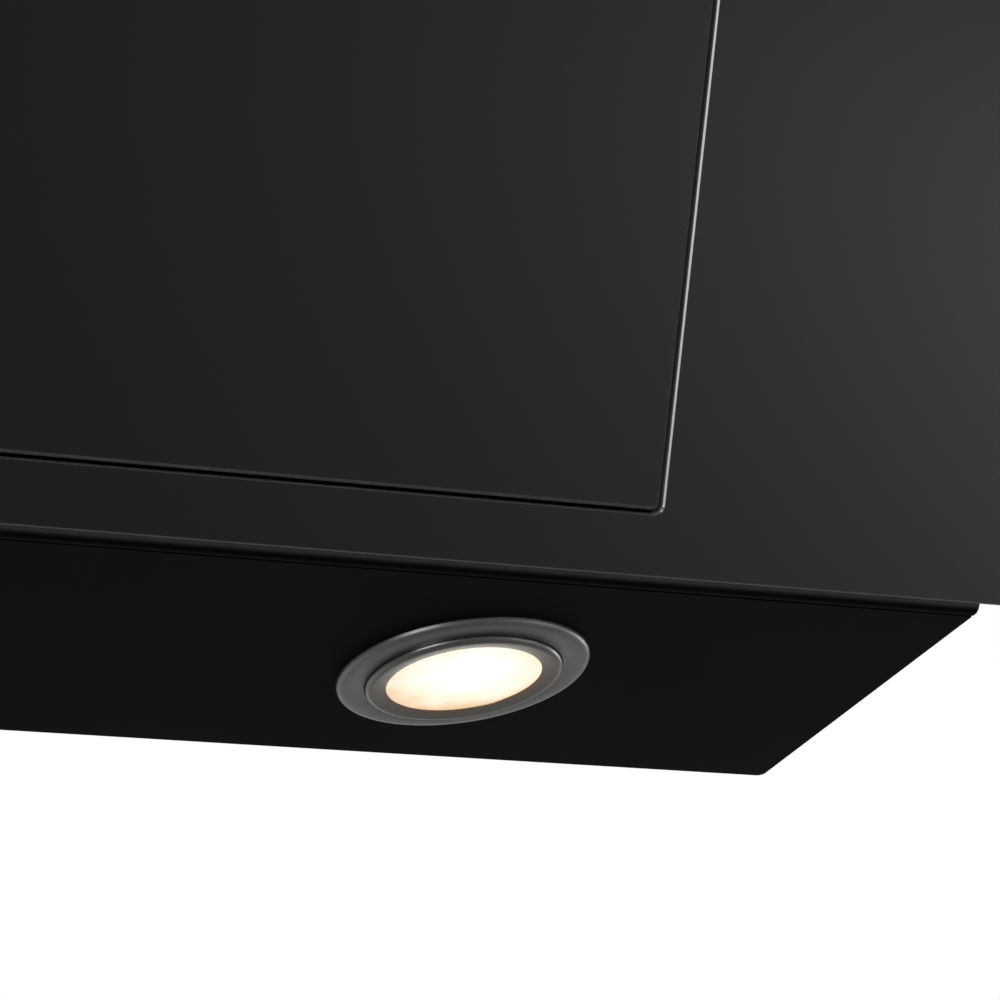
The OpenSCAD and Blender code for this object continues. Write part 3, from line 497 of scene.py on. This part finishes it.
# a darker copy of the black paint with almost no mirror, for the underside and the grease tray: painted shade
UNDERSIDE_SHADE_PAINT = make_paint("underside_paint_painted_shade", (0.0015, 0.0015, 0.0014), 0.46, 0.38, 0.006)
GLASS = make_glass()
ARRIS = make_cut_edge("polished_arris", (0.012, 0.013, 0.0125), 0.16)
SATIN_ARRIS = make_cut_edge("satin_arris", (0.04, 0.042, 0.041), 0.45)
GROUND_EDGE = make_cut_edge("ground_glass_edge", (0.09, 0.097, 0.093), 0.5)
BEND_SHEEN_SHADE_PAINT = make_bend_sheen_shade_paint()
print("black finishes made:", PAINT.name, UNDERSIDE_SHADE_PAINT.name, GLASS.name)
print("edges and bend:", ARRIS.name, SATIN_ARRIS.name, GROUND_EDGE.name, BEND_SHEEN_SHADE_PAINT.name)

# %% [markdown]
# ### Metals, plastic and rubber
# Zinc-coated sheet shows its crystals; the filters are satin aluminium with
# brush marks along the baffles; small turned parts are brighter, and the
# screws of the side plates are blackened. Plastic and rubber differ mostly in
# how they scatter light.

# %% Inner materials
ZINC_GREY = (0.55, 0.57, 0.58)
SMUDGE_SPREAD = 0.06


def make_zinc():
    mat, tree, shader, place = start_material("zinc_coated_sheet", ZINC_GREY, 1, 0.38)
    flowers = use_group(tree, ZINC_FLOWERS, place, Scale=120.0)
    toned(tree, shader, flowers.outputs["Tone"], ZINC_GREY)
    tree.links.new(flowers.outputs["Roughness"], shader.inputs["Roughness"])
    return mat


def make_brushed(name, color, scale, roughness):
    mat, tree, shader, place = start_material(name, color, 1, roughness)
    marks = use_group(tree, BRUSH, stretch(tree, place, scale), Scale=1.0)
    toned(tree, shader, marks.outputs["Tone"], color)
    bump(tree, shader, marks.outputs["Height"], 0.15, 0.0001)
    return mat


def make_grained(name, color, roughness, specular, scale, strength):
    mat, tree, shader, place = start_material(name, color, 0, roughness, specular)
    smudge = use_group(tree, SMUDGE, place, Scale=14.0,
                       Dull=roughness + SMUDGE_SPREAD, Bright=roughness - SMUDGE_SPREAD)
    tree.links.new(smudge.outputs["Roughness"], shader.inputs["Roughness"])
    grain = use_group(tree, GRAIN, place, Scale=scale)
    bump(tree, shader, grain.outputs["Height"], strength, 0.0003)
    return mat


ZINC = make_zinc()
ALUMINIUM = make_brushed("satin_aluminium", (0.74, 0.75, 0.76), (900, 30, 30), 0.33)
TURNED_STEEL = make_brushed("turned_steel", (0.66, 0.66, 0.66), (40, 700, 700), 0.28)
BLACKENED = make_brushed("blackened_screw_steel", (0.05, 0.05, 0.052), (500, 500, 500), 0.36)
PLASTIC = make_grained("moulded_plastic", (0.028, 0.028, 0.030), 0.5, 0.4, 1400.0, 0.25)
RUBBER = make_grained("soft_rubber", (0.02, 0.02, 0.02), 0.78, 0.3, 900.0, 0.3)
CERAMIC = make_grained("glazed_ceramic", (0.82, 0.80, 0.74), 0.3, 0.5, 300.0, 0.08)
print("finishes:", [m.name for m in bpy.data.materials])

# %% [markdown]
# ### Lamp finishes
# The lamp rings are dark blasted metal with a fine even grain. Near the lens
# the inner one is painted lighter and warmer: a painted glow of the lamp's
# light on it. The reflector is spun, so its marks run in circles round each
# lamp. Both lamps share one material: folding the side away puts both centres
# at one place. The lens is frosted glass with a warm light behind it, a little
# yellower and dimmer towards its rim and in patches.

# %% Distance from the lamp's centre
def lamp_distance(tree, place):
    """Vector from the middle of the nearer lamp, in metres."""
    fold = tree.nodes.new("ShaderNodeVectorMath")
    fold.operation = "MULTIPLY_ADD"
    parts = tree.nodes.new("ShaderNodeSeparateXYZ")
    tree.links.new(place, parts.inputs[0])
    side = tree.nodes.new("ShaderNodeMath")
    side.operation = "ABSOLUTE"
    tree.links.new(parts.outputs["X"], side.inputs[0])
    joined = tree.nodes.new("ShaderNodeCombineXYZ")
    tree.links.new(side.outputs[0], joined.inputs["X"])
    tree.links.new(parts.outputs["Y"], joined.inputs["Y"])
    fold.inputs[1].default_value = (1, 1, 0)
    fold.inputs[2].default_value = (-LAMP_AT.x, -LAMP_AT.y, 0)
    tree.links.new(joined.outputs[0], fold.inputs[0])
    return fold.outputs[0]


def length_of(tree, vector):
    node = tree.nodes.new("ShaderNodeVectorMath")
    node.operation = "LENGTH"
    tree.links.new(vector, node.inputs[0])
    return node.outputs["Value"]


# %% Lamp metal and lens
# between these distances from the lamp's centre the inner ring is painted lighter and warmer: painted light of the
# lamp
GLOW_SPILL_FROM, GLOW_SPILL_TO = 20.5 * MM, 24.0 * MM
GLOW_SHIFT = (0.001, 0.0045, 0)
GLOW_FROM, GLOW_TO = 8 * MM, 32 * MM
GLOW_PATCHES = 13 * MM


def make_lamp_metal(name, color, roughness, spun=False, glow_tone=None):
    """Blasted metal, or spun with fine rings; warmed is its tone at the lens, a painted glow of the lamp's light.
    """
    mat, tree, shader, place = start_material(name, color, 1, roughness)
    out = length_of(tree, lamp_distance(tree, place))
    if spun:
        rings = tree.nodes.new("ShaderNodeCombineXYZ")
        tree.links.new(out, rings.inputs["X"])
        marks = use_group(tree, BRUSH, rings.outputs[0], Scale=5200.0)
    else:
        marks = use_group(tree, BRUSH, place, Scale=2400.0)
    if glow_tone:
        # fades the painted glow of the lamp in towards the lens
        near = remap(tree, out, 1.0, 0.0, GLOW_SPILL_FROM, GLOW_SPILL_TO)
        blend = tree.nodes.new("ShaderNodeMix")
        blend.data_type = "RGBA"
        blend.inputs[MIX_A].default_value = (*color, 1)
        blend.inputs[MIX_B].default_value = (*glow_tone, 1)
        tree.links.new(near, blend.inputs[MIX_FACTOR])
        color = blend.outputs[MIX_OUT]
    toned(tree, shader, marks.outputs["Tone"], color)
    bump(tree, shader, marks.outputs["Height"], 0.5, 0.0001)
    return mat


def make_lens():
    mat, tree, shader, place = start_material("frosted_lit_lens", (0.05, 0.048, 0.042), 0, 0.3)
    # the lit patch sits a little towards the front of the lamp
    shifted = tree.nodes.new("ShaderNodeVectorMath")
    shifted.operation = "ADD"
    shifted.inputs[1].default_value = GLOW_SHIFT
    tree.links.new(lamp_distance(tree, place), shifted.inputs[0])
    out = length_of(tree, shifted.outputs[0])
    patches = tree.nodes.new("ShaderNodeTexNoise")
    patches.inputs["Scale"].default_value = 95.0
    patches.inputs["Detail"].default_value = 1.5
    tree.links.new(place, patches.inputs["Vector"])
    spread = tree.nodes.new("ShaderNodeMath")
    spread.operation = "MULTIPLY_ADD"
    spread.inputs[1].default_value = GLOW_PATCHES
    tree.links.new(patches.outputs["Fac"], spread.inputs[0])
    tree.links.new(out, spread.inputs[2])
    far = tree.nodes.new("ShaderNodeMapRange")
    far.inputs["From Min"].default_value = GLOW_FROM
    far.inputs["From Max"].default_value = GLOW_TO
    tree.links.new(spread.outputs[0], far.inputs["Value"])
    ramp = tree.nodes.new("ShaderNodeValToRGB")
    tree.links.new(far.outputs["Result"], ramp.inputs["Fac"])
    stops = ramp.color_ramp.elements
    stops[0].position = 0.22
    stops[0].color = (1.0, 0.995, 0.955, 1)
    stops[1].position = 0.98
    stops[1].color = (0.80, 0.55, 0.31, 1)
    for at, color in ((0.5, (0.985, 0.93, 0.80, 1)), (0.76, (0.95, 0.82, 0.62, 1))):
        stops.new(at).color = color
    tree.links.new(ramp.outputs["Color"], shader.inputs["Emission Color"])
    shader.inputs["Emission Strength"].default_value = 1.0
    return mat


LAMP_METAL = make_lamp_metal("dark_satin_nickel", (0.1, 0.098, 0.096), 0.32)
# the inner ring carries a painted glow of the lamp next to the lens
RING_METAL = make_lamp_metal("lamp_nickel_painted_glow", (0.088, 0.086, 0.083), 0.26,
                             glow_tone=(0.15, 0.108, 0.074))
REFLECTOR = make_lamp_metal("spun_reflector", (0.85, 0.85, 0.83), 0.18, spun=True)
LENS = make_lens()
print("lamp finishes:", [m.name for m in (LAMP_METAL, RING_METAL, REFLECTOR, LENS)])

# %% [markdown]
# ### Circuit board
# The board behind the cover is green solder mask with copper tracks showing
# through as slightly lighter lines; a brick pattern gives their straight runs.

# %% Board finish
def make_board():
    mat, tree, shader, place = start_material("green_circuit_board", (0.03, 0.12, 0.05), 0, 0.3)
    tracks = tree.nodes.new("ShaderNodeTexBrick")
    tracks.inputs["Color1"].default_value = (0.025, 0.11, 0.045, 1)
    tracks.inputs["Color2"].default_value = (0.03, 0.13, 0.05, 1)
    tracks.inputs["Mortar"].default_value = (0.07, 0.22, 0.09, 1)
    tracks.inputs["Scale"].default_value = 160.0
    tracks.inputs["Mortar Size"].default_value = 0.012
    turned = tree.nodes.new("ShaderNodeMapping")
    turned.inputs["Rotation"].default_value = (math.pi / 2, 0, 0)
    tree.links.new(place, turned.inputs["Vector"])
    tree.links.new(turned.outputs["Vector"], tracks.inputs["Vector"])
    tree.links.new(tracks.outputs["Color"], shader.inputs["Base Color"])
    return mat


BOARD = make_board()

# %% [markdown]
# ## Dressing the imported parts
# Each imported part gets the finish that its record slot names, so the two
# never drift apart. Parts that share a slot but not a look, such as turned
# pins among zinc sheet, are listed by name first.

# %% Finishes by slot
SLOT_FINISH = {
    "black_paint": PAINT,
    "black_glass": GLASS,
    "galvanised_steel": ZINC,
    "filter_aluminium": ALUMINIUM,
    "dark_plastic": PLASTIC,
    "bumper_rubber": RUBBER,
    "circuit_board": BOARD,
    "lamp_metal": LAMP_METAL,
    "lamp_lens": LENS,
    "reflector": REFLECTOR,
    "ceramic": CERAMIC,
}
PAINTED = {
    # the underside and the grease tray take the darker copy of the paint as painted shade; on the grease tray it
    # keeps the gap round the flap black
    "bottom_panel": UNDERSIDE_SHADE_PAINT,
    "grease_tray": UNDERSIDE_SHADE_PAINT,
    # the front plate's bend carries painted sheen and painted shade
    "front_frame": BEND_SHEEN_SHADE_PAINT,
}
TURNED = ("flap_shaft", "flap_pin", "motor_shaft", "blower_nuts",
          "collar_screws", "damper_axle")
slot_of = {s["node"]: s["material_slot"] for s in frame["record"]["subparts"]}
for name, part in frame["nodes"].items():
    finish = PAINTED.get(name, SLOT_FINISH[slot_of[name]])
    if name in TURNED:
        finish = TURNED_STEEL
    part.data.materials.clear()
    part.data.materials.append(finish)
print("dressed", len(frame["nodes"]), "parts")

# %% [markdown]
# ## New pieces
# A finished piece is one mesh object at the origin. This helper turns a bmesh
# into such an object, with its finishes and its body, and hides the imported
# part it stands for.

# %% Helper that finishes a piece
SHARP_ANGLE = math.radians(30)


def finish_piece(name, bm, finishes, body, stands_for):
    mesh = bpy.data.meshes.new(name)
    bm.to_mesh(mesh)
    bm.free()
    for finish in finishes:
        mesh.materials.append(finish)
    for face in mesh.polygons:
        face.use_smooth = True
    mesh.set_sharp_from_angle(angle=SHARP_ANGLE)
    piece = bpy.data.objects.new(name, mesh)
    bpy.context.scene.collection.objects.link(piece)
    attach(piece, body)
    if stands_for:
        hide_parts(*stands_for)
    print(name, len(mesh.polygons), "faces")


# %% [markdown]
# ### Glass plates
# Tempered plates are cut, their corners rounded and their edges ground: a
# narrow 45 degree arris runs round every cut, on the flap a wider one. A plate
# starts as one square face whose corners are rounded by a vertex bevel. The
# big plate bridges its outer outline to that of the opening, and both grow to
# their thickness by an extrusion before the rims are bevelled.

# %% Rounded outlines
# places of the three finishes on a plate: its faces, its arris, its cut edge
FLAT, BEVEL, CUT = 0, 1, 2
CORNER_SEGMENTS = 8
NEAR = 1e-6
ALONG, ACROSS = 0.9, 0.1


def rounded_face(bm, width, low, high, radius):
    """One face with round corners on the z = 0 plane; returns the face."""
    made = bmesh.ops.create_grid(bm, x_segments=1, y_segments=1, size=0.5)
    corners = made["verts"]
    bmesh.ops.scale(bm, vec=(width, high - low, 1), verts=corners)
    bmesh.ops.translate(bm, vec=(0, (low + high) / 2, 0), verts=corners)
    bmesh.ops.bevel(bm, geom=corners, offset=radius, offset_type="OFFSET",
                    segments=CORNER_SEGMENTS, profile=0.5, affect="VERTICES", material=-1)
    return next(f for f in bm.faces
                if abs(max(v.co.x for v in f.verts) - width / 2) < NEAR)


def thicken(bm, depth):
    """Extrudes every face of a flat piece backwards by depth."""
    made = bmesh.ops.extrude_face_region(bm, geom=bm.faces[:])
    moved = [v for v in made["geom"] if isinstance(v, bmesh.types.BMVert)]
    bmesh.ops.translate(bm, vec=(0, 0, -depth), verts=moved)
    bmesh.ops.recalc_face_normals(bm, faces=bm.faces)
    bm.normal_update()
    for face in bm.faces:
        face.material_index = CUT if abs(face.normal.z) < ACROSS else FLAT


def rim_edges(bm, z):
    """Edges between the flat face at height z and a wall."""
    flat = [f for f in bm.faces
            if abs(f.normal.z) > ALONG and abs(f.calc_center_median().z - z) < NEAR]
    return [e for f in flat for e in f.edges
            if any(abs(g.normal.z) < ACROSS for g in e.link_faces)]


def grind(bm, z, size):
    """Bevels the rim at height z and marks the new faces as cut edge."""
    bm.normal_update()
    made = bmesh.ops.bevel(bm, geom=rim_edges(bm, z), offset=size, offset_type="OFFSET",
                           segments=1, profile=0.5, affect="EDGES", material=-1)
    for face in made["faces"]:
        face.material_index = BEVEL


# %% Big plate and flap
flap_lo, flap_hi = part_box("flap_glass")
FLAP_W = flap_hi.x - flap_lo.x
FLAP_LOW = (flap_lo.z - glass_lo.z) / UP_GLASS.z
FLAP_LEN = (flap_hi.z - flap_lo.z + GLASS_T * OUT_OF_GLASS.z) / UP_GLASS.z
GAP = 1 * MM
TOP_GAP = 1.708 * MM
CORNER = 2.5 * MM
NARROW_ARRIS, WIDE_ARRIS = 0.4 * MM, 0.85 * MM

bm = bmesh.new()
plate = rounded_face(bm, glass_hi.x - glass_lo.x, 0, GLASS_LEN, CORNER / 2)
outer = list(plate.edges)
hole = rounded_face(bm, FLAP_W + 2 * GAP, FLAP_LOW - GAP, FLAP_LOW + FLAP_LEN + TOP_GAP, CORNER)
inner = list(hole.edges)
bmesh.ops.delete(bm, geom=[plate, hole], context="FACES_ONLY")
bmesh.ops.bridge_loops(bm, edges=outer + inner)
thicken(bm, GLASS_T)
grind(bm, 0, NARROW_ARRIS)
grind(bm, -GLASS_T, NARROW_ARRIS)
bmesh.ops.transform(bm, matrix=TO_SLOPE, verts=bm.verts)
bmesh.ops.recalc_face_normals(bm, faces=bm.faces)
finish_piece("glass_panel", bm, [GLASS, ARRIS, GROUND_EDGE], "hood",
             ["glass_front"])

bm = bmesh.new()
rounded_face(bm, FLAP_W, FLAP_LOW, FLAP_LOW + FLAP_LEN, CORNER - GAP / 2)
thicken(bm, GLASS_T)
grind(bm, 0, WIDE_ARRIS)
grind(bm, -GLASS_T, NARROW_ARRIS)
bmesh.ops.transform(bm, matrix=TO_SLOPE, verts=bm.verts)
bmesh.ops.recalc_face_normals(bm, faces=bm.faces)
finish_piece("glass_flap", bm, [GLASS, SATIN_ARRIS, GROUND_EDGE], "flap",
             ["flap_glass"])

# %% [markdown]
# ### Lamps
# A recessed lamp is a set of turned rings, so each is a profile spun round the
# lamp's axis. The flange has a rounded outer edge and a polished inner edge,
# the ring inside it slopes to the lens, and the lens bulges a little.

# %% Turned pieces
SPIN_STEPS = 128


def turned(profile, centre, closed=True):
    """Spins a (radius, height) profile in mm; an open one ends on the axis."""
    bm = bmesh.new()
    verts = [bm.verts.new((r * MM, 0, z * MM)) for r, z in profile]
    edges = [bm.edges.new(pair) for pair in zip(verts, verts[1:])]
    if closed:
        edges.append(bm.edges.new((verts[-1], verts[0])))
    bmesh.ops.spin(bm, geom=verts + edges, cent=(0, 0, 0), axis=(0, 0, 1),
                   angle=2 * math.pi, steps=SPIN_STEPS, use_merge=True)
    bmesh.ops.remove_doubles(bm, verts=bm.verts, dist=1e-7)
    bmesh.ops.translate(bm, vec=centre, verts=bm.verts)
    bmesh.ops.recalc_face_normals(bm, faces=bm.faces)
    return bm


def arc(cr, cz, radius, start, end, steps=6):
    """Points of an arc in a profile, by angles in degrees."""
    angles = [math.radians(start + (end - start) * i / steps) for i in range(steps + 1)]
    return [(cr + radius * math.cos(a), cz + radius * math.sin(a)) for a in angles]


FLANGE = (
    [(29.2, 0), (29.2, 15), (27.8, 15), (27.8, 0), (26.12, 0)]
    + arc(26.27, -1.75, 0.15, 180, 270, 2)
    + [(31.4, -1.9), (32.2, -1.8), (32.85, -1.5), (33.25, -1.0), (33.45, -0.5), (33.5, 0)]
)
INNER_RING = (
    [(26.0, 15), (24.6, 15), (24.6, -2.5), (20.5, -2.5)]
    + arc(20.65, -2.6, 0.15, 180, 265, 2)
    + arc(24.6, -2.0, 1.4, 263, 360, 9)
)
LENS_PROFILE = [
    (0, -3.1), (6, -3.06), (12, -2.9), (17, -2.69), (20.1, -2.5),
    (22.5, -2.5), (22.5, 0.5), (0, 0.5),
]

for side, sign in (("left", -1), ("right", 1)):
    centre = Vector((sign * LAMP_AT.x, LAMP_AT.y, LAMP_AT.z))
    finish_piece(f"lamp_flange_{side}", turned(FLANGE, centre), [LAMP_METAL],
                 "hood", [f"lamp_bezel_{side}"])
    finish_piece(f"lamp_inner_ring_{side}", turned(INNER_RING, centre), [RING_METAL],
                 "hood", [f"lamp_ring_{side}"])
    finish_piece(f"lamp_glass_{side}", turned(LENS_PROFILE, centre, closed=False), [LENS],
                 "hood", [f"lamp_lens_{side}"])

# %% [markdown]
# ### Screws of the side plates
# The side plates are screwed to the back along their rear edge. A pan head
# with a six-lobed recess is a stack of rings: round ones for the head, then
# lobed ones that go down into the recess. Turning alone gives no lobes, so
# the rings are joined with faces one after another.

# %% Side screws
# radius, height and depth of the lobes of each ring, in mm
HEAD_RINGS = [
    (3.6, 0, 0), (3.6, 0.5, 0), (3.35, 1.05, 0), (2.7, 1.5, 0), (1.95, 1.7, 0),
    (1.6, 1.72, 0.25), (1.5, 0.6, 0.25),
]
AROUND = 36
LOBES = 6
SCREW_INSET = 11 * MM
SCREWS_DOWN = (0.08, 0.36, 0.64, 0.92)


def pan_head(bm, at, out):
    """A screw head at a point, standing out along x."""
    rings = []
    for radius, height, lobe in HEAD_RINGS:
        ring = []
        for i in range(AROUND):
            turn_by = 2 * math.pi * i / AROUND
            r = (radius + lobe * math.cos(LOBES * turn_by)) * MM
            ring.append(bm.verts.new((
                at.x + out * height * MM,
                at.y + r * math.cos(turn_by),
                at.z + r * math.sin(turn_by),
            )))
        rings.append(ring)
    for low, high in zip(rings, rings[1:]):
        for i in range(AROUND):
            j = (i + 1) % AROUND
            bm.faces.new((low[i], low[j], high[j], high[i]))
    bm.faces.new(rings[0])
    bm.faces.new(rings[-1])


side_lo, side_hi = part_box("side_panel_right")
bm = bmesh.new()
for sign in (-1, 1):
    for down in SCREWS_DOWN:
        screw_z = side_hi.z - down * (side_hi.z - side_lo.z)
        pan_head(bm, Vector((sign * side_hi.x, side_hi.y - SCREW_INSET, screw_z)), sign)
bmesh.ops.recalc_face_normals(bm, faces=bm.faces)
finish_piece("side_screws", bm, [BLACKENED], "hood", [])

# %% [markdown]
# ## Colour view
# Last, the colours are shown through the Standard view transform.

view = bpy.context.scene.view_settings
view.view_transform = "Standard"
